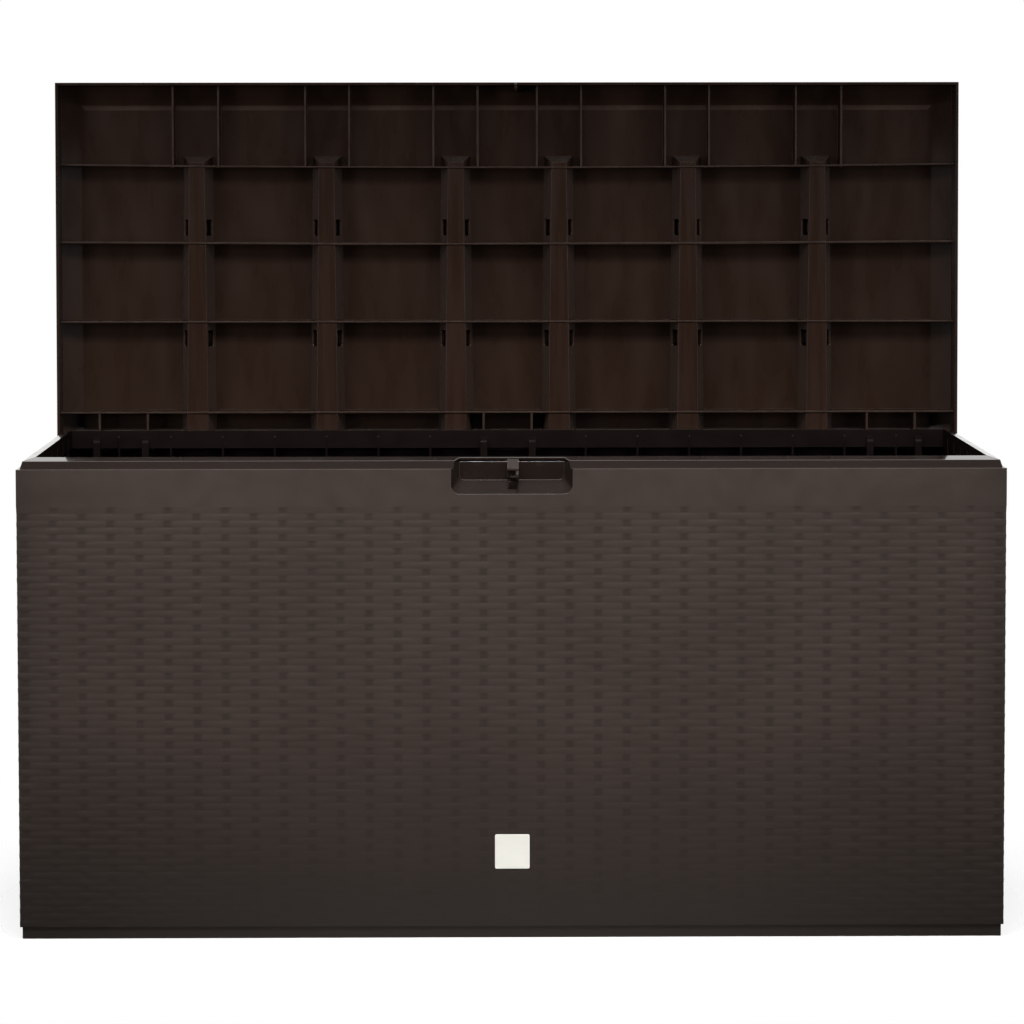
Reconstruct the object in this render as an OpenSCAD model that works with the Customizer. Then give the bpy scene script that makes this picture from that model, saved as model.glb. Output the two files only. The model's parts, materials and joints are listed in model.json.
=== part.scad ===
// Deck storage box: five moulded panels locked together at the corners, and a lid on three
// pinned hinges. The lid is drawn open, leaning on its stop just past upright.
// The front faces -Y, the width runs along X, and the floor is at Z = 0.

/* [Box] */
// Width across the front
box_w = 1140; // [1000:10:1300]
// Depth from front to back
box_d = 470; // [430:10:560]
// Height with the lid closed
closed_h = 600; // [520:10:700]
// Height of the base panel that shows below the walls
base_h = 14; // [12:1:20]
// How far the base panel stands in from the walls' outer faces
base_inset = 3; // [2.5:0.5:3.5]
// Wall thickness of every panel above its woven field
skin = 4; // [4:0.2:5]
// Wall thickness of rims, flanges and housings
thin = 2.6; // [2:0.1:3]

/* [Rim of the walls] */
// How far the lip stands in from the outer face, leaving the ledge that the lid lands on
lip_inset = 7; // [6.5:0.5:8]
// How far the lip of the front and end walls leans out towards its foot
lip_lean = 2.8; // [0:0.2:2.8]
// Height of the lip's outer edge above the ledge
lip_h = 9; // [7:0.5:10]
// Height of the rim's inner edge above the ledge
rim_h = 13; // [11:0.5:13]
// Depth of the rim from the outer face to its inner edge
rim_depth = 21; // [19:1:23]
// Height of the flange that hangs from the rim's inner edge
flange_h = 23; // [18:1:30]
// Spacing of the upright ribs inside the walls
rib_pitch = 65.3; // [60:0.1:75]

/* [Woven fields] */
// Depth of the sunken field that holds the woven relief
weave_depth = 1.4; // [1:0.1:1.8]
// Height of the smooth band between the ledge and the woven field
band_h = 44; // [38:1:50]

/* [Finger recess and grips] */
// Width of the front recess at the face
recess_w = 141; // [110:1:180]
// Width of the front recess at its back plane
recess_back_w = 121; // [100:1:160]
// Depth of the front recess below the ledge at the face
recess_drop = 30; // [25:1:36]
// Width of the hand grip in each side wall
grip_w = 126; // [110:2:140]
// Height of the hand grip's mouth
grip_h = 40; // [34:1:50]
// Height of the middle of the grips above the floor
grip_z = 420; // [380:5:440]

/* [Lid] */
// Height of the lid from the bottom of its skirt to its top
lid_h = 55; // [50:1:65]
// Wall thickness of the lid
lid_t = 3.5; // [3:0.1:4]
// Width of the sloping border round the lid's top
bevel_w = 30; // [24:1:40]
// Fall of the sloping border
bevel_drop = 10; // [6:1:14]
// Radius of the fold between the lid's top and its border
fold_r = 22; // [15:1:30]
// Gap between the closed lid's skirt and the ledge
lid_gap = 0.5; // [0.4:0.1:1]
// How far the lid opens
open_angle = 91; // [85:1:92]

/* [Lid stiffeners] */
// Width of a stiffener at its front foot
bar_front_w = 37; // [32:1:42]
// Width of a stiffener at its rear foot
bar_rear_w = 45; // [40:1:50]
// How far each flank leans in from foot to face
bar_lean = 9; // [7:0.5:10]
// Wall thickness of a stiffener
bar_t = 2.2; // [1.8:0.1:2.6]

/* [Hinges] */
// Radius of the hinge pins
pin_r = 2.5; // [2:0.1:3]
// Radial clearance of the lid's eyes on the pins
pin_play = 0.08; // [0.04:0.01:0.1]
// Distance of the hinge axis from the outer face of the back wall
axis_inset = 8; // [7.5:0.5:8.5]
// Distance of the hinge axis below the ledge
axis_drop = 12; // [11.5:0.5:13]
// Half the distance between the two lugs of a hinge
lug_offset = 30.5; // [28:0.5:33]
// Distance of the outer hinges from the middle of the box
hinge_x = 487; // [430:1:490]

/* [Padlock] */
// Radius of the holes for the padlock's shackle
shackle_r = 3.3; // [3:0.1:3.5]
// Thickness of the two padlock plates
hasp_t = 3.4; // [3:0.1:3.6]

/* [Hidden] */
$fn = 48;
hull_fn = 32;
eps = 0.01;
half_w = box_w / 2;
half_d = box_d / 2;
ledge_z = closed_h - lid_h;
lip_z = ledge_z + lip_h;
rim_z = ledge_z + rim_h;
flange_z = rim_z - flange_h;
band_z = ledge_z - band_h;

// wall panels
foot_depth = 10;
wall_rib_t = 2.5;
wall_rib_depth = 8;
rib_proud = 1;
gusset_h = 50;
return_len = 14;
tongue_t = 3.2;
tongue_len = 24;
groove_gap = 0.5;
groove_rib_depth = 16;
tab_w = 40;
tab_t = 3;
tab_u = 5;
tab_depth = 11;
slot_play = 0.3;
long_tabs = [-376, -94, 94, 376] * box_w / 1140;
side_tabs = [-117, 117];

// base panel
floor_t = 4;
base_rib_t = 2.5;
base_rib_lift = 1.5;
base_rib_n = 12;
base_row_n = 4;
pad_r = 16;
pad_x = box_w / 3;

// front recess: a scoop with a sloping floor
recess_depth = 17;
recess_floor_rise = 16;
recess_r = 10.5;
recess_back_r = 6;
pod_t = 2.6;
grip_r = 9;
grip_lean = 7;

// lid, measured with the lid closed
skirt_z = ledge_z + lid_gap;
edge_z = closed_h - bevel_drop;
roof_z = closed_h - lid_t;
lid_rib_z = rim_z + 2;
lid_rib_t = 2.4;
long_rib_d = [103, 201, 302, 417] * box_d / 470;
long_rib_bow = [4, 3, 0, 0];
bow_steps = 12;
short_rib_x = [37.5, 93.5, 200, 255.5, 365.5, 423];
field_margin = 5;
fold_steps = 4;

// stiffeners, from the front one to the rear edge
bar_x = [65.5, 229, 393];
bar_y0 = 92 - half_d;
bar_y1 = half_d - 12;
bar_slope = (bar_rear_w - bar_front_w) / 2 / (bar_y1 - bar_y0);
bar_cap = 8;
bar_face_z = lid_rib_z + 2;
bar_slant = bar_lean / (roof_z - bar_face_z);
bar_gap = 0.3;
window_d = [183, 323.5];
window_l = 20.5;
window_z0 = bar_face_z + 5;
window_h = 22;
window_r = 2;
hook_w = 12;
hook_t = 2.2;

// hinges
axis_y = half_d - axis_inset;
axis_z = ledge_z - axis_drop;
hinge_xs = [-hinge_x, 0, hinge_x];
boss_w = 8.6;
boss_depth = 27;
boss_top = rim_z - 10;
boss_h = 48;
boss_nose_r = 6.5;
lug_t = 2.8;
lug_gap = 3.6;
eye_r = 6.5;
arm_gap = 0.6;
arm_w = 5.8;
shoulder_r = axis_drop - 0.4;
pin_l = 77;
pin_head_r = 3.6;
pin_head_t = 2;

// padlock plates
shackle_u = 6.5;
shackle_z = ledge_z - 8;
cheek_r = 5.5;
staple_x0 = -5.5;
staple_x1 = 8;
hasp_x = 8.8;
hasp_w = 10;

badge_w = 40;
badge_r = 2;
badge_z = 101;

lid_brown = "#46352d";
wall_brown = "#564a42";
bar_brown = "#4c332a";

// ---------- helpers ----------

// Draws a Y-Z outline and runs it along X, centred on x.
module along_x(length, x = 0)
    translate([x - length / 2, 0, 0]) rotate([90, 0, 90]) linear_extrude(length) children();

// Draws an X-Z outline and runs it along Y, centred on y.
module along_y(length, y = 0)
    translate([0, y + length / 2, 0]) rotate([90, 0, 0]) linear_extrude(length) children();

// Rectangle with rounded corners, centred on the origin.
module rounded_rect(w, h, r) {
    square([w, h - 2 * r], center = true);
    square([w - 2 * r, h], center = true);
    for (x = [-1, 1], y = [-1, 1])
        translate([x * (w / 2 - r), y * (h / 2 - r)]) circle(r);
}

// Turns a closed lid part about the hinge axis into the open rest pose.
module opened()
    translate([0, axis_y, axis_z]) rotate([-open_angle, 0, 0])
        translate([0, -axis_y, -axis_z]) children();

module both_sides() {
    children();
    mirror([1, 0, 0]) children();
}

// ---------- wall panels ----------
// A wall is drawn facing -Y. Its outline runs from u = 0 at the outer face inwards.

rim_slope = (rim_z - lip_z) / (rim_depth - lip_inset);
rim_drop = thin * sqrt(1 + rim_slope * rim_slope);
wall_outline = [
    [weave_depth, base_h], [weave_depth, band_z], [0, band_z], [0, ledge_z],
    [lip_inset - lip_lean, ledge_z], [lip_inset, lip_z], [rim_depth, rim_z],
    [rim_depth, flange_z], [rim_depth - thin, flange_z],
    [rim_depth - thin, rim_z - rim_slope * thin - rim_drop],
    [lip_inset + thin, lip_z + rim_slope * thin - rim_drop],
    [lip_inset + thin, ledge_z - thin], [skin, ledge_z - thin], [skin, base_h + thin],
    [foot_depth, base_h + thin], [foot_depth, base_h]
];
rib_outline = [
    [skin - 1, base_h], [skin + wall_rib_depth, base_h],
    [skin + wall_rib_depth, flange_z - gusset_h - 15],
    [rim_depth + rib_proud, flange_z - 15], [rim_depth + rib_proud, rim_z - 9],
    [rim_depth - 1, rim_z - 6], [lip_inset + 1, rim_z - 6],
    [lip_inset + 1, ledge_z - 1], [skin - 1, ledge_z - 1]
];

// Skin, ledge, rim and foot of a wall, mitred at both ends.
module wall_blank(length, face_y) {
    reach = 2 * rim_depth;
    intersection() {
        translate([0, -face_y, 0]) along_x(length) polygon(wall_outline);
        linear_extrude(closed_h) polygon([
            [-length / 2, -face_y], [length / 2, -face_y],
            [length / 2 - reach, reach - face_y], [reach - length / 2, reach - face_y]
        ]);
    }
}

module wall_rib(x, face_y)
    translate([0, -face_y, 0]) along_x(wall_rib_t, x) polygon(rib_outline);

// Tab that drops through a slot in the base panel and hooks under its floor.
module wall_tab(x, face_y) {
    hook = 1.5;
    under = base_h - floor_t - 0.4;
    translate([0, -face_y, 0]) along_x(tab_w, x) polygon([
        [tab_u, base_h + thin], [tab_u, base_h - tab_depth],
        [tab_u + tab_t - 1, base_h - tab_depth], [tab_u + tab_t + hook, under - 3],
        [tab_u + tab_t + hook, under], [tab_u + tab_t, under], [tab_u + tab_t, base_h + thin]
    ]);
}

// Strip of a side wall's skin that belongs to the front or back panel as its corner return.
module corner_zone(reach = 0)
    both_sides() for (y = [-1, 1])
        translate([half_w - skin, y > 0 ? half_d - return_len : -half_d - reach, base_h - reach])
            cube([skin + reach, return_len + reach, ledge_z - thin - base_h + reach]);

module side_blank()
    rotate([0, 0, 90]) wall_blank(box_d, half_w);

// Rounds the ledge at the back and makes its lip upright, so that the lid's rear skirt and
// hinge arms can roll over it.
module rear_shoulder_cut()
    difference() {
        translate([-half_w - 1, half_d - lip_inset, axis_z + 4])
            cube([box_w + 2, lip_inset + 1, axis_drop - 4 + lip_h]);
        along_x(box_w + 4) translate([axis_y, axis_z]) circle(shoulder_r);
    }

// Corner returns and groove ribs that lock a long panel to the side walls.
module long_wall_corners() {
    intersection() {
        both_sides() side_blank();
        corner_zone();
        translate([-half_w, -half_d, 0]) cube([box_w, return_len, closed_h]);
    }
    groove_x = half_w - skin - tongue_t - groove_gap - thin;
    groove_z = base_h + thin + groove_gap;
    both_sides() translate([groove_x, skin - 1 - half_d, groove_z])
        cube([thin, groove_rib_depth, flange_z - groove_z]);
}

// Front or back panel, drawn facing -Y.
module long_wall(rib_xs) {
    wall_blank(box_w, half_d);
    long_wall_corners();
    for (x = rib_xs) both_sides() wall_rib(x, half_d);
    for (x = long_tabs) wall_tab(x, half_d);
}

// Solid that tapers from a rounded mouth on the outer face to a smaller back plane.
// mouth and back hold the width, height and corner radius of the two ends, which share the
// height top_z. The solid starts at start, and grow makes it larger all round.
module scoop(mouth, back, top_z, start = -1, grow = 0)
    hull() {
        $fn = hull_fn;
        translate([0, start, top_z - mouth[1] / 2])
            along_y(eps) rounded_rect(mouth[0] + 2 * grow, mouth[1] + 2 * grow, mouth[2] + grow);
        translate([0, recess_depth + grow, top_z - back[1] / 2])
            along_y(eps) rounded_rect(back[0] + 2 * grow, back[1] + 2 * grow, back[2] + grow);
    }

// ---------- the box ----------

module base_panel() color(wall_brown) {
    w = box_w - 2 * base_inset;
    d = box_d - 2 * base_inset;
    difference() {
        translate([-w / 2, -d / 2, 0]) cube([w, d, base_h]);
        translate([thin - w / 2, thin - d / 2, -1])
            cube([w - 2 * thin, d - 2 * thin, base_h - floor_t + 1]);
        for (y = [-1, 1], x = long_tabs) scale([1, y, 1]) base_slot(x, half_d);
        for (a = [90, -90], y = side_tabs) rotate([0, 0, a]) base_slot(y, half_w);
    }
    for (i = [0 : base_rib_n - 1]) {
        x = (i - (base_rib_n - 1) / 2) * w / base_rib_n;
        translate([x - base_rib_t / 2, thin - d / 2 - eps, base_rib_lift])
            cube([base_rib_t, d - 2 * thin + 2 * eps, base_h - floor_t - base_rib_lift + eps]);
    }
    for (i = [0 : base_row_n - 1]) {
        y = (i - (base_row_n - 1) / 2) * d / base_row_n;
        translate([thin - w / 2 - eps, y - base_rib_t / 2, base_rib_lift])
            cube([w - 2 * thin + 2 * eps, base_rib_t, base_h - floor_t - base_rib_lift + eps]);
    }
    for (x = [-pad_x, 0, pad_x]) translate([x, 0, 0]) cylinder(base_h - 1, r = pad_r);
}

// Slot in the base panel for one wall tab, for a wall that faces -Y.
module base_slot(x, face_y)
    translate([x - tab_w / 2 - slot_play, tab_u - slot_play - face_y, -1])
        cube([tab_w + 2 * slot_play, tab_t + 2 * slot_play, base_h + 2]);

module front_wall() color(wall_brown) {
    mouth = [recess_w, 2 * recess_drop, recess_r];
    back = [recess_back_w, 2 * recess_drop - recess_floor_rise, recess_back_r];
    top_z = ledge_z + recess_drop;
    difference() {
        union() {
            long_wall([for (k = [1 : 8]) (k + 0.5) * rib_pitch]);
            intersection() {
                translate([0, -half_d, 0]) scoop(mouth, back, top_z, 1, pod_t);
                translate([0, -half_d, 0]) along_x(box_w) polygon([
                    [0, 0], [0, ledge_z], [lip_inset, ledge_z], [lip_inset, rim_z - 6],
                    [rim_depth, rim_z - 6], [rim_depth, 0]
                ]);
            }
        }
        translate([0, -half_d, 0]) scoop(mouth, back, top_z);
        translate([staple_x0 + 2, 6 - half_d, ledge_z - recess_drop - 5])
            cube([staple_x1 - staple_x0 - 4, recess_depth - 8, recess_drop - 8]);
    }
}

module back_wall() color(wall_brown)
    difference() {
        mirror([0, 1, 0]) union() {
            long_wall([for (k = [1 : 8]) (k + 0.5) * rib_pitch]);
            for (x = hinge_xs, s = [-1, 1]) hinge_boss(x + s * lug_offset);
        }
        rear_shoulder_cut();
        for (x = hinge_xs) {
            for (s = [-1, 1]) lug_slot(x + s * lug_offset);
            translate([x, axis_y, axis_z]) rotate([0, 90, 0])
                cylinder(pin_l, r = pin_r, center = true);
        }
    }

// Boss that holds the pin on both sides of a lug, with a rounded nose inside the box.
module hinge_boss(x)
    translate([0, -half_d, 0]) along_x(boss_w, x) {
        nose_u = boss_depth - boss_nose_r;
        polygon([
            [skin - 1, boss_top - boss_h], [nose_u - 4, boss_top - boss_h],
            [boss_depth, boss_top - boss_h + 12], [boss_depth, boss_top - boss_nose_r],
            [nose_u, boss_top], [lip_inset + thin - 1, boss_top],
            [lip_inset + thin - 1, ledge_z - 1], [skin - 1, ledge_z - 1]
        ]);
        translate([nose_u, boss_top - boss_nose_r]) circle(boss_nose_r);
    }

// Space in which a lug of the lid turns, cut through the wall's skin and ledge.
module lug_slot(x)
    along_x(lug_gap, x) polygon([
        [half_d + 1, axis_z - 8.5], [half_d - 16, axis_z - 8.5], [half_d - 16, axis_z + 8],
        [half_d - lip_inset + 0.2, axis_z + 8], [half_d - lip_inset + 0.2, ledge_z + 1],
        [half_d + 1, ledge_z + 1]
    ]);

// Left wall; the right wall is its mirror image.
module side_wall() {
    mouth = [grip_w, grip_h, grip_r];
    back = [grip_w - 2 * grip_lean, grip_h - grip_lean, grip_r - 3];
    top_z = grip_z + grip_h / 2;
    difference() {
        union() {
            rotate([0, 0, -90]) {
                wall_blank(box_d, half_w);
                for (k = [0 : 2], s = [-1, 1]) wall_rib(s * (k + 0.5) * rib_pitch, half_w);
                for (y = side_tabs) wall_tab(y, half_w);
                translate([0, -half_w, 0]) scoop(mouth, back, top_z, skin - 1, pod_t);
            }
            for (y = [-1, 1]) scale([1, y, 1])
                translate([skin - half_w - eps, half_d - skin - tongue_len, base_h + thin])
                    cube([tongue_t, tongue_len - groove_gap, flange_z - base_h - 8]);
        }
        corner_zone(1);
        rear_shoulder_cut();
        rotate([0, 0, -90]) translate([0, -half_w, 0]) scoop(mouth, back, top_z);
    }
}

module left_wall() color(wall_brown) side_wall();
module right_wall() color(wall_brown) mirror([1, 0, 0]) side_wall();

// Hook and drilled cheek that stand in the finger recess for a padlock.
module padlock_staple() color("#6a5c52")
    translate([0, -half_d, 0]) difference() {
        union() {
            along_x(staple_x1 - staple_x0, (staple_x0 + staple_x1) / 2) polygon([
                [recess_depth, ledge_z - 11.5], [recess_depth, lip_z + 1.5],
                [recess_depth - 3, lip_z + 1.5], [6, ledge_z], [6, ledge_z - 2.5],
                [recess_depth - 3, ledge_z - 4], [recess_depth - 3, ledge_z - 11.5]
            ]);
            along_x(hasp_t, staple_x1 - hasp_t / 2) {
                translate([shackle_u, shackle_z]) circle(cheek_r);
                translate([shackle_u, shackle_z - cheek_r])
                    square([recess_depth - shackle_u, 2 * cheek_r]);
            }
            along_x(staple_x1 + 1.5, staple_x1 / 2 - 0.75)
                translate([recess_depth - 7, ledge_z - 11.5]) square([7, 2.6]);
        }
        translate([staple_x1, shackle_u, shackle_z]) rotate([0, 90, 0])
            cylinder(3 * hasp_t, r = shackle_r, center = true);
    }

// Blank name plate on the front.
module front_badge() color("#ece9de")
    translate([0, weave_depth - half_d - weave_depth / 2, badge_z])
        along_y(weave_depth) rounded_rect(badge_w, badge_w, badge_r);

module hinge_pin(x) color("#5a5048")
    translate([x, axis_y, axis_z]) rotate([0, 90, 0]) {
        cylinder(pin_l, r = pin_r, center = true);
        translate([0, 0, pin_l / 2]) cylinder(pin_head_t, r = pin_head_r);
    }

module hinge_pin_left() hinge_pin(hinge_xs[0]);
module hinge_pin_centre() hinge_pin(hinge_xs[1]);
module hinge_pin_right() hinge_pin(hinge_xs[2]);

// ---------- the lid, drawn closed and then opened ----------

// Outline across the lid: a flat top that folds on an arc into a sloping border, over a
// straight skirt. All insets share the fold's centre.
function lid_outline(half, inset, bottom) =
    let (
        slope = bevel_drop / bevel_w,
        fall = atan(slope),
        edge = half - inset,
        corner_z = edge_z + slope * inset - inset / cos(fall),
        fold_x = half - bevel_w - fold_r * tan(fall / 2),
        fold = [for (i = [0 : fold_steps]) let (a = 90 - fall * (1 - i / fold_steps))
            [fold_x + (fold_r - inset) * cos(a), closed_h - fold_r + (fold_r - inset) * sin(a)]]
    )
    concat(
        [[-edge, bottom], [edge, bottom], [edge, corner_z]],
        fold,
        [for (i = [fold_steps : -1 : 0]) [-fold[i][0], fold[i][1]]],
        [[-edge, corner_z]]
    );

module lid_solid(inset, bottom)
    intersection() {
        along_y(box_d + 2) polygon(lid_outline(half_w, inset, bottom));
        along_x(box_w + 2) polygon(lid_outline(half_d, inset, bottom));
    }

// Rib across the whole lid; its middle bows towards the hinges.
module long_rib(d, bow) {
    y = d - half_d;
    l = half_w - 1;
    edge = [for (i = [-bow_steps : bow_steps]) [i / bow_steps * l, bow * (1 - pow(i / bow_steps, 2))]];
    translate([0, y, lid_rib_z]) linear_extrude(closed_h - lid_rib_z) polygon(concat(
        [for (p = edge) [p[0], p[1] - lid_rib_t / 2]],
        [for (i = [len(edge) - 1 : -1 : 0]) [edge[i][0], edge[i][1] + lid_rib_t / 2]]
    ));
}

module long_ribs()
    for (i = [0 : 3]) long_rib(long_rib_d[i], long_rib_bow[i]);

module short_ribs() {
    back_y = long_rib_d[0] - half_d + long_rib_bow[0];
    for (x = short_rib_x) both_sides()
        translate([x - lid_rib_t / 2, 1 - half_d, lid_rib_z])
            cube([lid_rib_t, back_y + half_d - 1, closed_h - lid_rib_z]);
}

// Lug of a hinge: a gusset under the roof, an arm down the skirt and an eye for the pin.
module hinge_lug(x) {
    arm_y = half_d - lip_inset + arm_gap;
    along_x(lug_t, x) {
        polygon([
            [long_rib_d[3] - half_d, lid_rib_z + 0.5], [arm_y, lid_rib_z + 0.5],
            [arm_y, axis_z], [arm_y + arm_w, axis_z],
            [arm_y + arm_w, roof_z - 8], [long_rib_d[3] - half_d, roof_z + 1]
        ]);
        translate([axis_y, axis_z]) circle(eye_r);
    }
}

// Foot and face of a stiffener, grown by grow; the flanks lean in from the roof to the face.
module bar_envelope(x, grow, top) {
    z0 = bar_face_z - grow;
    out = grow + bar_slant * (top - roof_z);
    in = grow - bar_slant * (roof_z - z0);
    y0 = bar_y0 - grow;
    face_y = y0 + bar_cap;
    face_taper = bar_slope * bar_cap;
    front = bar_front_w / 2;
    rear = bar_rear_w / 2;
    translate([x, 0, 0]) polyhedron(
        points = [
            [-front - out, y0, top], [front + out, y0, top],
            [rear + out, bar_y1, top], [-rear - out, bar_y1, top],
            [-front - in - face_taper, face_y, z0], [front + in + face_taper, face_y, z0],
            [rear + in, bar_y1, z0], [-rear - in, bar_y1, z0]
        ],
        faces = [[3, 2, 1, 0], [4, 5, 6, 7], [0, 1, 5, 4], [1, 2, 6, 5], [2, 3, 7, 6], [3, 0, 4, 7]]
    );
}

// Prongs on the roof that hook into a stiffener's windows.
module bar_hooks(x)
    for (d = window_d, s = [-1, 1]) {
        u = bar_front_w / 2 - 10 + bar_slope * (d - half_d - bar_y0);
        translate([x, d - half_d, 0]) scale([s, 1, 1]) along_y(hook_w) polygon([
            [u, roof_z + 1], [u, window_z0 + 7], [u + hook_t, window_z0 + 7],
            [u + hook_t + 3, window_z0 + 11], [u + hook_t, window_z0 + 14],
            [u + hook_t, roof_z + 1]
        ]);
    }

module lid_shell() color(lid_brown) opened()
    difference() {
        union() {
            difference() {
                lid_solid(0, skirt_z);
                lid_solid(lid_t, skirt_z - 1);
                translate([bevel_w + field_margin - half_w, bevel_w + field_margin - half_d,
                    closed_h - weave_depth])
                    cube([box_w - 2 * (bevel_w + field_margin),
                        box_d - 2 * (bevel_w + field_margin), weave_depth + 1]);
            }
            intersection() {
                lid_solid(lid_t / 2, lid_rib_z - 1);
                union() {
                    difference() {
                        long_ribs();
                        for (x = bar_x) both_sides() bar_envelope(x, bar_gap, roof_z + 2);
                    }
                    short_ribs();
                    for (x = bar_x) both_sides() bar_hooks(x);
                }
            }
            for (x = hinge_xs, s = [-1, 1]) hinge_lug(x + s * lug_offset);
            padlock_tab();
        }
        for (x = hinge_xs) translate([x, axis_y, axis_z]) rotate([0, 90, 0])
            cylinder(pin_l + 10, r = pin_r + pin_play, center = true);
        translate([hasp_x, shackle_u - half_d, shackle_z]) rotate([0, 90, 0])
            cylinder(3 * hasp_t, r = shackle_r, center = true);
    }

// Plate under the front skirt that closes beside the staple's cheek.
module padlock_tab()
    translate([0, -half_d, 0]) along_x(hasp_t, hasp_x + hasp_t / 2) {
        translate([shackle_u, shackle_z]) circle(hasp_w / 2);
        translate([shackle_u - hasp_w / 2, shackle_z]) square([hasp_w, edge_z - shackle_z - 3]);
    }

// Tapered channel that snaps under the lid's roof.
module lid_stiffener(i) color(bar_brown) opened() {
    x = concat([for (k = [2 : -1 : 0]) -bar_x[k]], bar_x)[i - 1];
    difference() {
        intersection() {
            bar_envelope(x, 0, roof_z);
            lid_solid(lid_t, skirt_z);
        }
        bar_envelope(x, -bar_t, roof_z + 1);
        for (d = window_d) along_x(bar_rear_w + 10, x)
            translate([d - half_d, window_z0 + window_h / 2])
                rounded_rect(window_l, window_h, window_r);
    }
}

module lid_stiffener_1() lid_stiffener(1);
module lid_stiffener_2() lid_stiffener(2);
module lid_stiffener_3() lid_stiffener(3);
module lid_stiffener_4() lid_stiffener(4);
module lid_stiffener_5() lid_stiffener(5);
module lid_stiffener_6() lid_stiffener(6);

base_panel();
front_wall();
back_wall();
left_wall();
right_wall();
padlock_staple();
front_badge();
hinge_pin_left();
hinge_pin_centre();
hinge_pin_right();
lid_shell();
lid_stiffener_1();
lid_stiffener_2();
lid_stiffener_3();
lid_stiffener_4();
lid_stiffener_5();
lid_stiffener_6();
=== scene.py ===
import json
import math

import bmesh
import bpy
import numpy as np
from mathutils import Matrix, Vector


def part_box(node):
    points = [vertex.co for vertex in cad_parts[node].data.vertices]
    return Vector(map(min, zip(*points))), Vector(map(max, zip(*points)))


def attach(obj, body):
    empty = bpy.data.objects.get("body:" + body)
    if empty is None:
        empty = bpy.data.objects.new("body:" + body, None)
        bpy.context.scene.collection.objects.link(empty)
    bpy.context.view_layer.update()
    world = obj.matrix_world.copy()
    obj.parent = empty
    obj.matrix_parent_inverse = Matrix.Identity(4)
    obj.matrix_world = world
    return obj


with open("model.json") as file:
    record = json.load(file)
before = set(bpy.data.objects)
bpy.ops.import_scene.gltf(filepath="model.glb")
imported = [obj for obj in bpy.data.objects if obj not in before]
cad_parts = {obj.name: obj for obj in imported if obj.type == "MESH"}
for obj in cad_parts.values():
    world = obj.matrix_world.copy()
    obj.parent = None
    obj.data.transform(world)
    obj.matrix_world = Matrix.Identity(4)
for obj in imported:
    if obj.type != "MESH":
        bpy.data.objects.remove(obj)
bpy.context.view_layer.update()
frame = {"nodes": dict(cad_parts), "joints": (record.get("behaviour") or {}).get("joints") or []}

NODES = frame["nodes"]
MM = 0.001

# ---------- sizes, taken from the frame ----------

front_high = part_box("front_wall")[1]
back_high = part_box("back_wall")[1]
base_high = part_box("base_panel")[1]
badge_low, badge_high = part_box("front_badge")

HALF_W = front_high.x
HALF_D = back_high.y
BASE_H = base_high.z
LEDGE_Z = front_high.z - 13 * MM      # ledge that the closed lid lands on
BAND_Z = LEDGE_Z - 44 * MM            # lower edge of the smooth band on the walls
CLOSED_H = LEDGE_Z + 55 * MM          # top of the closed lid
FIELD_U = 1.4 * MM                    # depth of the sunken fields
SKIN_GAP = 0.02 * MM                  # between a field's floor and the back of the piece laid in it
LID_BORDER = 35 * MM                  # smooth border round the lid's woven field
RECESS_HALF_W = 72 * MM               # finger recess: half width, depth and drop below the ledge
RECESS_DEPTH = 17.5 * MM
RECESS_DROP = 31 * MM
GRIP = (126 * MM, 40 * MM, 420 * MM)  # hand grips: width, height and height above the floor
BARS = [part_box(name) for name in NODES if name.startswith("lid_stiffener")]
BAR_XS = [(low.x + high.x) / 2 for low, high in BARS]
CHANNEL_TOP = BARS[0][1].z - 4 * MM   # upper end of the stiffeners' channels on the open lid
HINGE = Vector(frame["joints"][0]["pos_m"])
OPEN_ANGLE = math.radians(frame["joints"][0]["range_deg"][1])
OPENED = Matrix.Translation(HINGE) @ Matrix.Rotation(-OPEN_ANGLE, 4, "X") @ Matrix.Translation(-HINGE)
CLOSED = OPENED.inverted()            # takes a place on the open lid to where it is when closed


# ---------- materials ----------

class Shader:
    """A small helper that adds nodes to one material and links them by name."""

    def __init__(self, name):
        self.material = bpy.data.materials.new(name)
        self.material.use_nodes = True
        self.tree = self.material.node_tree
        self.bsdf = self.tree.nodes["Principled BSDF"]

    def add(self, kind, **settings):
        node = self.tree.nodes.new("ShaderNode" + kind)
        for key, value in settings.items():
            setattr(node, key, value)
        return node

    def link(self, source, target):
        self.tree.links.new(source, target)

    def noise(self, coords, scale, detail=3.0, roughness=0.55):
        node = self.add("TexNoise")
        node.inputs["Scale"].default_value = scale
        node.inputs["Detail"].default_value = detail
        node.inputs["Roughness"].default_value = roughness
        self.link(coords, node.inputs["Vector"])
        return node.outputs["Fac"]

    def spread(self, value, low, high, start=0.35, end=0.65):
        """Maps start..end of a 0..1 value to low..high."""
        node = self.add("MapRange")
        node.inputs["From Min"].default_value = start
        node.inputs["From Max"].default_value = end
        node.inputs["To Min"].default_value = low
        node.inputs["To Max"].default_value = high
        self.link(value, node.inputs["Value"])
        return node.outputs["Result"]

    def mix(self, factor, first, second):
        node = self.add("Mix", data_type="RGBA")
        self.link(factor, node.inputs[0])
        for socket, value in ((node.inputs[6], first), (node.inputs[7], second)):
            if isinstance(value, tuple):
                socket.default_value = (*value, 1.0)
            else:
                self.link(value, socket)
        return node.outputs[2]

    def maths(self, operation, first, second):
        node = self.add("Math", operation=operation)
        for socket, value in zip(node.inputs, (first, second)):
            if isinstance(value, (int, float)):
                socket.default_value = value
            else:
                self.link(value, socket)
        return node.outputs["Value"]


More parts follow.
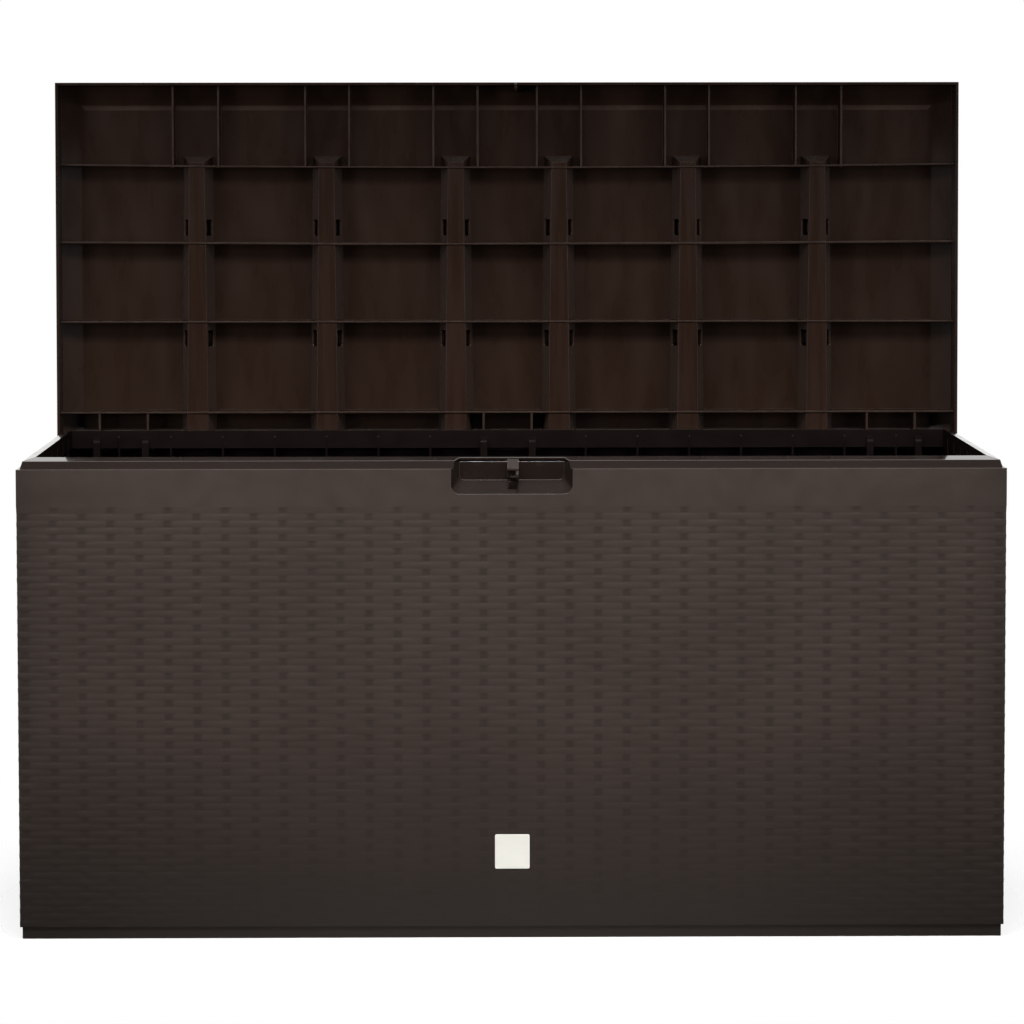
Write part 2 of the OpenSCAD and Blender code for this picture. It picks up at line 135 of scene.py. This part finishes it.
def edge_mask(shader, radius):
    """0 on flat faces, 1 along edges, found by rounding the normal."""
    bevel = shader.add("Bevel", samples=4)
    bevel.inputs["Radius"].default_value = radius
    plain = shader.add("NewGeometry")
    dot = shader.add("VectorMath", operation="DOT_PRODUCT")
    shader.link(bevel.outputs["Normal"], dot.inputs[0])
    shader.link(plain.outputs["Normal"], dot.inputs[1])
    rounded, flat = 0.86, 0.995
    return shader.spread(dot.outputs["Value"], 1.0, 0.0, rounded, flat)


def corner_shade(shader, coords, least):
    """Painted shade: 1 over most of a wall, falling to least at the box's upright corners and lower near the
    floor.
    """
    split = shader.add("SeparateXYZ")
    shader.link(coords, split.inputs["Vector"])
    gaps = []
    for axis, half in (("X", HALF_W), ("Y", HALF_D)):
        gap = shader.maths("SUBTRACT", half, shader.maths("ABSOLUTE", split.outputs[axis], 0.0))
        gaps.append(shader.maths("MAXIMUM", gap, 0.0))
    corner_reach, floor_reach = 48 * MM, 260 * MM
    shade = shader.spread(shader.maths("ADD", *gaps), least, 1.0, -8 * MM, corner_reach)
    shade.node.interpolation_type = "SMOOTHSTEP"
    height = shader.spread(split.outputs["Z"], 0.05, 1.0, 0.0, floor_reach)
    return shader.maths("MINIMUM", shade, height)


def moulded_plastic(name, dark, light, rough, grain, specular=0.5, wear_and_highlight=0.25, stretch=(1, 1, 1),
                    corners=1.0, recess=None, polish=0.12, channels=(), gloss=0.0):
    """Moulded polypropylene: cloudy colour, flow marks, fine grain, and paler edges that are partly
    rubbed wear and partly a painted highlight. corners paints shade at the box's upright corners
    and near the floor, recess names a mesh attribute along which shade is painted in hollows,
    polish makes the edges glossier, channels are the X positions of the stiffeners, inside whose
    channels shade is painted on the lid's roof, and gloss is the share of a clear, smooth skin."""
    # shares of the dark colour left in the painted shade of hollows and of the stiffeners' channels
    hollow_shade_share, shadowed = 0.45, 0.06      # share of the dark colour that is left there
    worn_and_highlit = tuple(min(1.0, c * 1.9 + 0.01) for c in light)
    shader = Shader(name)
    coords = shader.add("TexCoord").outputs["Object"]
    flow = shader.add("Mapping")
    flow.inputs["Scale"].default_value = stretch
    shader.link(coords, flow.inputs["Vector"])

    cloud = shader.noise(coords, 5.0)
    marks = shader.noise(flow.outputs["Vector"], 38.0, 4.0)
    shade = shader.maths("ADD", shader.maths("MULTIPLY", cloud, 0.6), shader.maths("MULTIPLY", marks, 0.4))
    colour = shader.mix(shader.spread(shade, 0.0, 1.0), dark, light)
    # painted shade at the box's upright corners and near the floor
    if corners < 1:
        colour = shader.mix(corner_shade(shader, coords, 0.6), tuple(c * corners for c in dark), colour)

    # painted shade in the weave's hollows: deeper is darker
    if recess:
        hollow = shader.add("Attribute", attribute_name=recess).outputs["Fac"]
        hollow_shade = shader.maths("MULTIPLY", hollow, shader.spread(cloud, 0.75, 1.0))
        colour = shader.mix(hollow_shade, colour, tuple(c * hollow_shade_share for c in dark))

    if channels:
        split = shader.add("SeparateXYZ")
        shader.link(coords, split.inputs["Vector"])
        nearest = 1.0
        for x in channels:
            away = shader.maths("ABSOLUTE", shader.maths("SUBTRACT", split.outputs["X"], x), 0.0)
            nearest = shader.maths("MINIMUM", nearest, away)
        channel_half_w = 15 * MM
        lit = shader.spread(nearest, 0.0, 1.0, channel_half_w, channel_half_w + 1 * MM)
        above = shader.spread(split.outputs["Z"], 0.0, 1.0, CHANNEL_TOP, CHANNEL_TOP + 2 * MM)
        lit = shader.maths("MAXIMUM", lit, above)
        colour = shader.mix(lit, tuple(c * shadowed for c in dark), colour)

    # paler edges: partly rubbed wear, partly a painted highlight along the arrises
    edges = edge_mask(shader, 1.2 * MM)
    scuffs_and_highlights = shader.maths("MULTIPLY", edges, shader.spread(marks, 0.2, 1.0))
    colour = shader.mix(shader.maths("MULTIPLY", scuffs_and_highlights, wear_and_highlight), colour, worn_and_highlit)
    shader.link(colour, shader.bsdf.inputs["Base Color"])

    speckle = shader.noise(coords, 900.0, 2.0)
    base_rough = shader.spread(marks, rough - 0.06, rough + 0.06)
    sheen = shader.maths("SUBTRACT", base_rough, shader.maths("MULTIPLY", edges, polish))
    shader.link(sheen, shader.bsdf.inputs["Roughness"])
    shader.bsdf.inputs["Specular IOR Level"].default_value = specular
    if gloss:
        shader.bsdf.inputs["Coat Weight"].default_value = gloss
        shader.bsdf.inputs["Coat Roughness"].default_value = 0.03
        shader.bsdf.inputs["Coat IOR"].default_value = 2.2

    bump = shader.add("Bump")
    bump.inputs["Strength"].default_value = grain
    bump.inputs["Distance"].default_value = 0.05 * MM
    shader.link(speckle, bump.inputs["Height"])
    shader.link(bump.outputs["Normal"], shader.bsdf.inputs["Normal"])
    return shader.material


def make_materials():
    """All finishes by key: dark and light colour of each, then its surface."""
    outer = (0.0295, 0.0210, 0.0172), (0.0375, 0.0268, 0.0220)
    rim = (0.0150, 0.0110, 0.0095), (0.0200, 0.0150, 0.0130)
    return {
        # corners paints shade at the box's upright corners and near the floor
        "outer": moulded_plastic("brown_textured", *outer, rough=0.5, grain=0.5, specular=0.16,
                                 wear_and_highlight=0.4, corners=0.35),
        "weave": moulded_plastic("brown_woven", *outer, rough=0.5, grain=0.45, specular=0.16,
                                 wear_and_highlight=0.1, stretch=(1, 1, 6), corners=0.35, recess="recess"),
        "side_rim": moulded_plastic("brown_side_rim", *rim, rough=0.09, grain=0.04, specular=0.8,
                                    wear_and_highlight=0.8, polish=0.0),
        "front_rim": moulded_plastic("brown_front_rim", *rim, rough=0.09, grain=0.04, specular=1.0,
                                     wear_and_highlight=0.8, polish=0.0, gloss=1.0),
        # back_rim: lighter colour, a painted highlight along the back rim's top
        "back_rim": moulded_plastic("brown_back_rim", (0.085, 0.052, 0.034), (0.115, 0.071, 0.047),
                                    rough=0.4, grain=0.1, specular=0.2, wear_and_highlight=0.5),
        "lip": moulded_plastic("brown_lip", (0.0105, 0.0068, 0.0052), (0.0140, 0.0092, 0.0072),
                               rough=0.6, grain=0.2, specular=0.04, wear_and_highlight=1.0),
        # recess: glossy, with a darker colour that is painted shade inside the finger recess
        "recess": moulded_plastic("brown_recess", (0.0085, 0.0052, 0.0040), (0.0115, 0.0072, 0.0057),
                                  rough=0.24, grain=0.1, specular=0.2, wear_and_highlight=0.15),
        # deep: a darker copy of the same plastic, painted shade on the unlit insides
        "deep": moulded_plastic("brown_deep", (0.0049, 0.0031, 0.0026), (0.0070, 0.0043, 0.0037),
                                rough=0.45, grain=0.2, specular=0.05, wear_and_highlight=0.5),
        "inner": moulded_plastic("brown_inside", (0.0177, 0.0090, 0.0057), (0.0239, 0.0124, 0.0080),
                                 rough=0.3, grain=0.2, specular=0.1, wear_and_highlight=0.5, stretch=(1, 1, 0.3),
                                 channels=BAR_XS),
        # fold: a lighter copy of the plastic, painted highlight along the rounded fold
        "fold": moulded_plastic("brown_fold", (0.0372, 0.0229, 0.0167), (0.0484, 0.0304, 0.0223),
                                rough=0.28, grain=0.1, specular=0.15, wear_and_highlight=0.2),
        # rib_edge: a lighter copy of the plastic, painted highlight on the ribs' free edges
        "rib_edge": moulded_plastic("brown_rib_edge", (0.0252, 0.0147, 0.0105), (0.0348, 0.0207, 0.0150),
                                    rough=0.28, grain=0.1, specular=0.2, wear_and_highlight=0.3),
        "bar": moulded_plastic("brown_stiffener", (0.0171, 0.0080, 0.0050), (0.0234, 0.0111, 0.0070),
                               rough=0.28, grain=0.15, specular=0.15, wear_and_highlight=1.0, stretch=(3, 1, 0.2)),
        # flank: a lighter copy of the stiffener's plastic, painted light on faces lit at a grazing angle
        "flank": moulded_plastic("brown_flank", (0.0348, 0.0216, 0.0162), (0.0468, 0.0294, 0.0222),
                                 rough=0.28, grain=0.15, specular=0.25, wear_and_highlight=0.8, stretch=(3, 1, 0.2)),
        "staple": moulded_plastic("brown_staple", (0.0110, 0.0074, 0.0058), (0.0240, 0.0170, 0.0138),
                                  rough=0.5, grain=0.8, specular=0.12, wear_and_highlight=0.9),
        "pin": moulded_plastic("brown_pin", (0.014, 0.009, 0.008), (0.020, 0.014, 0.012),
                               rough=0.28, grain=0.1, specular=0.5, wear_and_highlight=0.4),
        "badge": moulded_plastic("off_white_plate", (0.58, 0.57, 0.52), (0.64, 0.63, 0.58),
                                 rough=0.42, grain=0.1, specular=0.4, wear_and_highlight=0.05),
    }


# ---------- the CAD nodes: soft edges and finishes ----------

def soften(node, width):
    """Rounds the node's edges with modifiers; its own mesh stays as imported."""
    weld = node.modifiers.new("weld", "WELD")
    weld.merge_threshold = 0.002 * MM
    flat = node.modifiers.new("flat", "DECIMATE")
    flat.decimate_type = "DISSOLVE"
    flat.angle_limit = math.radians(0.4)
    flat.delimit = {"MATERIAL"}
    bevel = node.modifiers.new("bevel", "BEVEL")
    bevel.width = width
    bevel.segments = 2
    bevel.limit_method = "ANGLE"
    bevel.angle_limit = math.radians(28)
    bevel.use_clamp_overlap = False
    normals = node.modifiers.new("normals", "WEIGHTED_NORMAL")
    normals.keep_sharp = False
    for polygon in node.data.polygons:
        polygon.use_smooth = True


def finish_by_face(node, finishes, pick):
    """Several finishes on one moulding: pick gives a finish's number for a face's centre and normal."""
    node.data.materials.clear()
    for finish in finishes:
        node.data.materials.append(finish)
    for polygon in node.data.polygons:
        polygon.material_index = pick(polygon.center, polygon.normal)


def wall_finish(centre, normal):
    """Number of a wall face's finish: 0 deep inside, darker as painted shade, 1 textured outer face,
    2 glossy ledge and rim, on the back wall lighter as a painted highlight, 3 lip, 4 finger recess, darker as
    painted shade."""
    depth = min(HALF_W - abs(centre.x), HALF_D - abs(centre.y))
    in_recess = (abs(centre.x) < RECESS_HALF_W and centre.y < -HALF_D + RECESS_DEPTH
                 and centre.z > LEDGE_Z - RECESS_DROP and depth > 0.2 * MM)
    if in_recess:
        return 4
    if depth < FIELD_U + 0.4 * MM and abs(normal.z) < 0.5:
        return 1
    inside_rim, lip_depth = 19 * MM, 8 * MM
    if centre.z < LEDGE_Z - 2 * MM or depth > inside_rim:
        return 0
    outward = Vector((centre.x / HALF_W, centre.y / HALF_D, 0))
    if normal.z > 0.5:
        return 2
    return 3 if depth < lip_depth and normal.dot(outward) > 0.1 else 0


def base_finish(centre, normal):
    """1 on the plinth's outer edge, 0 elsewhere, the darker finish that is painted shade."""
    edge_depth = 5 * MM
    depth = min(HALF_W - abs(centre.x), HALF_D - abs(centre.y))
    return int(depth < edge_depth and abs(normal.z) < 0.5)


def lid_finish(centre, normal):
    """Number of a lid face's finish: 0 inside, 1 textured outer face, 2 the ribs' free edges, lighter as a
    painted highlight,
    3 the fold between roof and front border, lighter as a painted highlight."""
    place = CLOSED @ centre
    facing = CLOSED.to_3x3() @ normal
    on_skirt = abs(place.x) > HALF_W - 0.2 * MM or abs(place.y) > HALF_D - 0.2 * MM
    roof_depth, fold_reach = 14 * MM, 45 * MM
    rib_low, rib_high = LEDGE_Z + 10 * MM, LEDGE_Z + 18 * MM
    in_roof = place.z > CLOSED_H - roof_depth
    if on_skirt or (in_roof and facing.z > 0.3):
        return 1
    if facing.z < -0.9 and rib_low < place.z < rib_high:
        return 2
    curved = -0.9995 < facing.z < -0.952 and abs(facing.x) < 0.01
    return 3 if curved and in_roof and place.y < -HALF_D + fold_reach else 0


def bar_finish(middle):
    """Picks a stiffener's finish: 0 face, 1 flanks and foot, lighter as painted light, 2 inside the channel,
    darker as painted shade.
    """
    def pick(centre, normal):
        place = CLOSED @ centre
        facing = CLOSED.to_3x3() @ normal
        if facing.z > 0.5 or facing.x * (place.x - middle) < -1e-5:
            return 2
        return 1 if abs(facing.x) > 0.5 or facing.y < -0.3 else 0
    return pick


def dress_cad_nodes(mats):
    """Gives every CAD node its finishes and soft edges."""
    for name in ("front_wall", "back_wall", "left_wall", "right_wall"):
        rim = {"front_wall": "front_rim", "back_wall": "back_rim"}.get(name, "side_rim")
        finish_by_face(NODES[name], [mats[key] for key in ("deep", "outer", rim, "lip", "recess")],
                       wall_finish)
        soften(NODES[name], 0.5 * MM)
    finish_by_face(NODES["lid_shell"], [mats[key] for key in ("inner", "outer", "rib_edge", "fold")],
                   lid_finish)
    soften(NODES["lid_shell"], 0.5 * MM)
    finish_by_face(NODES["base_panel"], (mats["deep"], mats["outer"]), base_finish)
    soften(NODES["base_panel"], 0.6 * MM)
    plain = {"padlock_staple": ("staple", 0.5), "front_badge": ("badge", 0.3)}
    for name in NODES:
        if name.startswith("hinge_pin"):
            plain[name] = ("pin", 0.4)
        elif name.startswith("lid_stiffener"):
            low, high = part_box(name)
            finish_by_face(NODES[name], [mats[key] for key in ("bar", "flank", "deep")],
                           bar_finish((low.x + high.x) / 2))
            soften(NODES[name], 0.5 * MM)
    for name, (finish, width) in plain.items():
        NODES[name].data.materials.clear()
        NODES[name].data.materials.append(mats[finish])
        soften(NODES[name], width * MM)


# ---------- woven relief ----------

def add_object(name, data):
    piece = bpy.data.objects.new(name, data)
    bpy.context.scene.collection.objects.link(piece)
    return piece


def smooth_skin(name, mesh, work, sharp):
    """Turns the faces of work outward, smooths all but edges over sharp degrees, and adds the piece."""
    bmesh.ops.recalc_face_normals(work, faces=work.faces)
    for face in work.faces:
        face.smooth = True
    work.to_mesh(mesh)
    work.free()
    mesh.set_sharp_from_angle(angle=math.radians(sharp))
    return add_object(name, mesh)


STRAND = 8 * MM        # height of one horizontal strand
STAKE = 33 * MM        # spacing of the upright stakes
DIP = 4.6 * MM         # half width of the dip where a strand goes under a stake
STAKE_R = 5.5 * MM     # half width of a stake
STAKE_H = 0.3          # height of a stake, with 1 for the tallest crown
CROWN_U = 0.15 * MM    # depth of the strands' crowns below the outer face
GROOVE_U = 0.85 * MM   # depth of the deepest spots
# from SHADE_U down, the relief's hollows get painted shade through the recess attribute
SHADE_U = 0.45 * MM    # depth from which the relief is darker
CROWN_FALL = 0.36      # how far a strand's edges fall below its crown
DIP_FALL = 0.75        # how far a strand drops where it goes under a stake
SWELL = 0.08           # how far it rises where it goes over one
ACROSS = (-0.5, -0.375, -0.15, 0.15, 0.375)     # grid lines over one strand, in strand heights
ALONG = (-0.5, -9 / 33, -6 / 33, -3 / 33, 0.0, 3 / 33, 6 / 33, 9 / 33)    # and in stake spacings


def grid_lines(low, high, pitch, samples, origin, keep=()):
    """Grid lines of one direction: samples of every pitch, plus the ends and the lines in keep."""
    first = math.floor((low - origin) / pitch) - 1
    last = math.ceil((high - origin) / pitch) + 1
    lines = [origin + (k + s) * pitch for k in range(first, last + 1) for s in samples]
    fixed = [low, high, *keep]
    near = 0.9 * MM
    lines = [v for v in lines if low < v < high and all(abs(v - f) > near for f in fixed)]
    return np.array(sorted(lines + fixed))


def relief_depth(along, across, origin, rng, flush=None):
    """Depth below the outer face of a plain weave, for grid lines along and across the strands.
    The strand above the line flush runs level into the smooth band over it."""
    row = np.floor((across - origin) / STRAND + 0.5)
    place = 2 * ((across - origin) / STRAND - row)
    number = (row - row.min()).astype(int)
    count = number.max() + 1
    roundness, level_crown, typical_crown = 2.4, 1.09, 0.9
    row_variation, spot_variation = 0.04, 0.05
    crown = 1 - CROWN_FALL * np.abs(place) ** roundness
    if flush is not None:
        crown[across > flush] = level_crown
    stake = np.round(along / STAKE).astype(int)
    off = along - stake * STAKE
    under = ((stake[None, :] + row[:, None]) % 2) == 0
    dip = np.exp(-np.abs(off / DIP) ** 3)[None, :] * np.where(under, DIP_FALL, -SWELL)
    height = crown[:, None] * (typical_crown - dip)
    height *= (1 + row_variation * rng.standard_normal(count))[number][:, None]
    stakes = stake - stake.min()
    height -= spot_variation * rng.random((count, stakes.max() + 1))[number][:, stakes]
    hump = np.sqrt(np.clip(1 - (off / STAKE_R) ** 2, 0, 1))[None, :]
    upright = STAKE_H * hump * under
    return GROOVE_U - np.clip(np.maximum(height, upright), 0, 1) * (GROOVE_U - CROWN_U)


def relief_panel(name, along, across, depth, place, holes, mitred):
    """Closed skin: a relief in front, plain behind. place puts (along, across, depth) in the frame.
    holes are (along low, high, across low, high) and lie on grid lines. mitred ends turn in and
    slant, so that two panels meet at a corner of the box."""
    rows, cols = len(across), len(along)
    depth = depth.copy()
    end_drop, next_drop = 0.45 * MM, 0.1 * MM
    back = FIELD_U - SKIN_GAP
    if mitred:
        depth[:, [0, -1]] = depth[:, [2, -3]] + end_drop
        depth[:, [1, -2]] = depth[:, [2, -3]] + next_drop
        depth = np.minimum(depth, back - 0.04 * MM)
    inset = depth if mitred else np.zeros_like(depth)
    front_at = {}
    verts = []
    spots = []
    hollow = []

    def vertex(r, c):
        if (r, c) not in front_at:
            u = depth[r, c]
            shift = (inset[r, c] if c == 0 else -inset[r, c] if c == cols - 1 else 0.0)
            front_at[(r, c)] = len(verts)
            verts.append(place(along[c] + shift, across[r], u))
            spots.append((r, c))
            hollow.append(min(1.0, max(0.0, (u - SHADE_U) / (GROOVE_U - SHADE_U))))
        return front_at[(r, c)]

    mid_a = (along[1:] + along[:-1]) / 2
    mid_b = (across[1:] + across[:-1]) / 2
    solid = np.ones((rows - 1, cols - 1), bool)
    for a0, a1, b0, b1 in holes:
        inside = ((mid_b > b0) & (mid_b < b1))[:, None] & ((mid_a > a0) & (mid_a < a1))[None, :]
        solid &= ~inside

    # front faces outside the holes; open_edges keeps the edges used once, in a fixed order
    faces = []
    open_edges = {}
    for r in range(rows - 1):
        for c in range(cols - 1):
            if not solid[r, c]:
                continue
            quad = [vertex(r, c), vertex(r, c + 1), vertex(r + 1, c + 1), vertex(r + 1, c)]
            faces.append(quad)
            for i in range(4):
                pair = (quad[i], quad[(i + 1) % 4])
                if (pair[1], pair[0]) in open_edges:
                    del open_edges[(pair[1], pair[0])]
                else:
                    open_edges[pair] = True

    # a copy of those edges at the back, joined to them by narrow walls
    behind = {}
    for pair in open_edges:
        for v in pair:
            if v not in behind:
                r, c = spots[v]
                shift = back if mitred else 0.0
                shift = shift if c == 0 else -shift if c == cols - 1 else 0.0
                behind[v] = len(verts)
                verts.append(place(along[c] + shift, across[r], back))
    for a, b in open_edges:
        faces.append([b, a, behind[a], behind[b]])

    mesh = bpy.data.meshes.new(name)
    mesh.from_pydata(verts, [], faces)
    # the recess attribute: how much shade is painted on each vertex of the relief's hollows
    hollow_shade = mesh.attributes.new("recess", "FLOAT", "POINT")
    hollow_shade.data.foreach_set("value", hollow + [0.0] * (len(verts) - len(hollow)))
    work = bmesh.new()
    work.from_mesh(mesh)
    work.verts.ensure_lookup_table()
    back_verts = {work.verts[i] for i in behind.values()}
    rim = [e for e in work.edges if e.is_boundary and e.verts[0] in back_verts and e.verts[1] in back_verts]
    bmesh.ops.triangle_fill(work, use_beauty=False, use_dissolve=False, edges=rim)
    return smooth_skin(name, mesh, work, 50)


def grip_collar(name, side):
    """Smooth moulded border between a side wall's woven relief and its hand grip."""
    width, height, mid_z = GRIP
    corner = 9 * MM
    border = 5 * MM
    steps = 8

    def loop(w, h, r, u):
        points = []
        for q, (sx, sz) in enumerate(((1, 1), (-1, 1), (-1, -1), (1, -1))):
            for k in range(steps + 1):
                a = math.radians(90 * (q + k / steps))
                points.append((side * (HALF_W - u), sx * (w / 2 - r) + r * math.cos(a),
                               mid_z + sz * (h / 2 - r) + r * math.sin(a)))
        return points

    outer = (width + 2 * border, height + 2 * border, 0.4 * MM)
    inner = (width + 0.4 * MM, height + 0.4 * MM, corner)
    slim = 0.7 * MM
    foot_u, shoulder_u, crest_u = FIELD_U - SKIN_GAP, 0.6 * MM, 0.12 * MM
    rings = [
        loop(*outer, foot_u), loop(*outer, shoulder_u),
        loop(outer[0] - 2 * slim, outer[1] - 2 * slim, outer[2], crest_u),
        loop(inner[0] + 2 * slim, inner[1] + 2 * slim, corner + slim, crest_u),
        loop(*inner, shoulder_u), loop(*inner, foot_u),
    ]
    count = len(rings[0])
    verts = [p for ring in rings for p in ring]
    faces = []
    for k in range(len(rings)):
        this, following = k * count, (k + 1) % len(rings) * count
        for i in range(count):
            j = (i + 1) % count
            faces.append((this + i, this + j, following + j, following + i))
    mesh = bpy.data.meshes.new(name)
    mesh.from_pydata(verts, [], faces)
    work = bmesh.new()
    work.from_mesh(mesh)
    return smooth_skin(name, mesh, work, 45)


def make_weaves(mats):
    """The woven fields of the four walls and the lid, and the borders of the two hand grips."""
    rng = np.random.default_rng(7)
    low, high = BASE_H + 0.1 * MM, BAND_Z + 0.6 * MM
    flush, level, band_u = BAND_Z - 3.2 * MM, BAND_Z - 0.5 * MM, 0.05 * MM    # where it meets the band
    row_origin = BASE_H + STRAND / 2
    gap = 0.3 * MM
    badge = (badge_low.x - gap, badge_high.x + gap, badge_low.z - gap, badge_high.z + gap)
    margin = 5.2 * MM
    grip = (-GRIP[0] / 2 - margin, GRIP[0] / 2 + margin,
            GRIP[2] - GRIP[1] / 2 - margin, GRIP[2] + GRIP[1] / 2 + margin)
    panels = {
        "front_weave": (HALF_W, [badge], lambda s, z, u: (s, u - HALF_D, z)),
        "back_weave": (HALF_W, [], lambda s, z, u: (-s, HALF_D - u, z)),
        "left_weave": (HALF_D, [grip], lambda s, z, u: (u - HALF_W, -s, z)),
        "right_weave": (HALF_D, [grip], lambda s, z, u: (HALF_W - u, s, z)),
    }
    pieces = []
    for name, (half, holes, place) in panels.items():
        corner = [-half + 0.5 * MM, -half + 1.6 * MM, half - 1.6 * MM, half - 0.5 * MM]
        along = grid_lines(-half, half, STAKE, ALONG, 0.0, corner + [v for h in holes for v in h[:2]])
        across = grid_lines(low, high, STRAND, ACROSS, row_origin, [v for h in holes for v in h[2:]])
        depth = relief_depth(along, across, row_origin, rng, flush)
        depth[across > level] = band_u
        piece = relief_panel(name, along, across, depth, place, holes, True)
        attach(piece, "box")
        pieces.append(piece)

    def on_lid(s, t, u):
        return tuple(OPENED @ Vector((s, t, CLOSED_H - u)))

    play = 0.1 * MM
    half_x = HALF_W - LID_BORDER - play
    half_y = HALF_D - LID_BORDER - play
    along = grid_lines(-half_x, half_x, STAKE, ALONG, 0.0)
    across = grid_lines(-half_y, half_y, STRAND, ACROSS, 0.0)
    piece = relief_panel("lid_weave", along, across, relief_depth(along, across, 0.0, rng), on_lid, [], False)
    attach(piece, "lid")
    pieces.append(piece)

    for name, side in (("left_grip_collar", -1), ("right_grip_collar", 1)):
        collar = grip_collar(name, side)
        collar.data.materials.append(mats["outer"])
        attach(collar, "box")
    for piece in pieces:
        piece.data.materials.append(mats["weave"])


# ---------- stage, light and camera ----------

def make_floor():
    """Pale round floor that fades into the white surroundings past the box."""
    radius = 2.5
    rings, spokes = 6, 64
    work = bmesh.new()
    centre = work.verts.new((0, 0, 0))
    previous = None
    turn = 2 * math.pi / spokes
    for k in range(1, rings + 1):
        r = radius * k / rings
        ring = [work.verts.new((r * math.cos(turn * i), r * math.sin(turn * i), 0)) for i in range(spokes)]
        for i in range(spokes):
            j = (i + 1) % spokes
            if previous is None:
                work.faces.new((centre, ring[i], ring[j]))
            else:
                work.faces.new((previous[i], ring[i], ring[j], previous[j]))
        previous = ring
    mesh = bpy.data.meshes.new("floor")
    work.to_mesh(mesh)
    work.free()
    floor = add_object("floor", mesh)

    shader = Shader("pale_floor")
    shader.bsdf.inputs["Base Color"].default_value = (0.84, 0.84, 0.83, 1)
    shader.bsdf.inputs["Roughness"].default_value = 0.9
    shader.bsdf.inputs["Specular IOR Level"].default_value = 0.1
    coords = shader.add("TexCoord").outputs["Object"]
    distance = shader.add("VectorMath", operation="LENGTH")
    shader.link(coords, distance.inputs[0])
    fade_start, fade_end = 0.2, 0.85
    fade = shader.spread(distance.outputs["Value"], 0.0, 1.0, fade_start, fade_end)
    fade.node.interpolation_type = "SMOOTHSTEP"
    clear = shader.add("BsdfTransparent")
    blend = shader.add("MixShader")
    shader.link(fade, blend.inputs["Fac"])
    shader.link(shader.bsdf.outputs["BSDF"], blend.inputs[1])
    shader.link(clear.outputs["BSDF"], blend.inputs[2])
    output = shader.tree.nodes["Material Output"]
    shader.link(blend.outputs["Shader"], output.inputs["Surface"])
    mesh.materials.append(shader.material)


def make_world():
    """White studio: bright behind the object, dim towards the front."""
    world = bpy.data.worlds.new("studio")
    bpy.context.scene.world = world
    world.use_nodes = True
    tree = world.node_tree
    tree.nodes.clear()
    coords = tree.nodes.new("ShaderNodeTexCoord")
    split = tree.nodes.new("ShaderNodeSeparateXYZ")
    ramp = tree.nodes.new("ShaderNodeMapRange")
    ramp.interpolation_type = "SMOOTHSTEP"
    forward, backward, dim, bright = -0.35, 0.45, 0.06, 1.0
    ramp.inputs["From Min"].default_value = forward
    ramp.inputs["From Max"].default_value = backward
    ramp.inputs["To Min"].default_value = dim
    ramp.inputs["To Max"].default_value = bright
    soft = tree.nodes.new("ShaderNodeBackground")
    soft.inputs["Color"].default_value = (1.0, 0.99, 0.975, 1)
    seen = tree.nodes.new("ShaderNodeBackground")
    seen.inputs["Color"].default_value = (1, 1, 1, 1)
    seen.inputs["Strength"].default_value = 1.0
    path = tree.nodes.new("ShaderNodeLightPath")
    mix = tree.nodes.new("ShaderNodeMixShader")
    output = tree.nodes.new("ShaderNodeOutputWorld")
    tree.links.new(coords.outputs["Generated"], split.inputs["Vector"])
    tree.links.new(split.outputs["Y"], ramp.inputs["Value"])
    tree.links.new(ramp.outputs["Result"], soft.inputs["Strength"])
    tree.links.new(path.outputs["Is Camera Ray"], mix.inputs["Fac"])
    tree.links.new(soft.outputs["Background"], mix.inputs[1])
    tree.links.new(seen.outputs["Background"], mix.inputs[2])
    tree.links.new(mix.outputs["Shader"], output.inputs["Surface"])


def area_light(name, place, target, size, watts, spread):
    """Rectangular light at place, turned to target and hidden from the camera; spread in degrees."""
    data = bpy.data.lights.new(name, "AREA")
    data.shape = "RECTANGLE"
    data.size, data.size_y = size
    data.energy = watts
    data.spread = math.radians(spread)
    light = add_object(name, data)
    light.location = place
    light.visible_camera = False
    light.rotation_euler = (Vector(target) - Vector(place)).to_track_quat("-Z", "Y").to_euler()


def make_lights():
    """A low key over the front wall and the open lid, two side fills and a weak top light."""
    area_light("key", place=(0, -0.95, 1.45), target=(0, -0.235, 0.42), size=(2.0, 0.4),
               watts=11.8, spread=80)
    for name, side in (("fill_left", -1), ("fill_right", 1)):
        area_light(name, place=(side * 2.6, -2.7, 1.0), target=(0, 0, 0.7), size=(1.2, 1.4),
                   watts=36, spread=180)
    area_light("top", place=(0, 0.5, 3.2), target=(0, 0.3, 0), size=(2.6, 1.6), watts=3, spread=180)


def make_camera():
    """Nearly level product view from 4.6 m in front, a little left of the middle."""
    data = bpy.data.cameras.new("camera")
    data.sensor_width = 36
    data.lens = 142.25
    data.shift_y = -0.1
    data.clip_end = 60
    camera = add_object("camera", data)
    camera.location = (-0.0509, -4.871, 0.9227)
    yaw_right, pitch_down, roll = 0.635, 3.818, 0.06
    camera.rotation_euler = (math.radians(90 - pitch_down), math.radians(roll), math.radians(-yaw_right))
    bpy.context.scene.camera = camera


mats = make_materials()
dress_cad_nodes(mats)
make_weaves(mats)
make_floor()
make_world()
make_lights()
make_camera()
bpy.context.scene.view_settings.view_transform = "Standard"
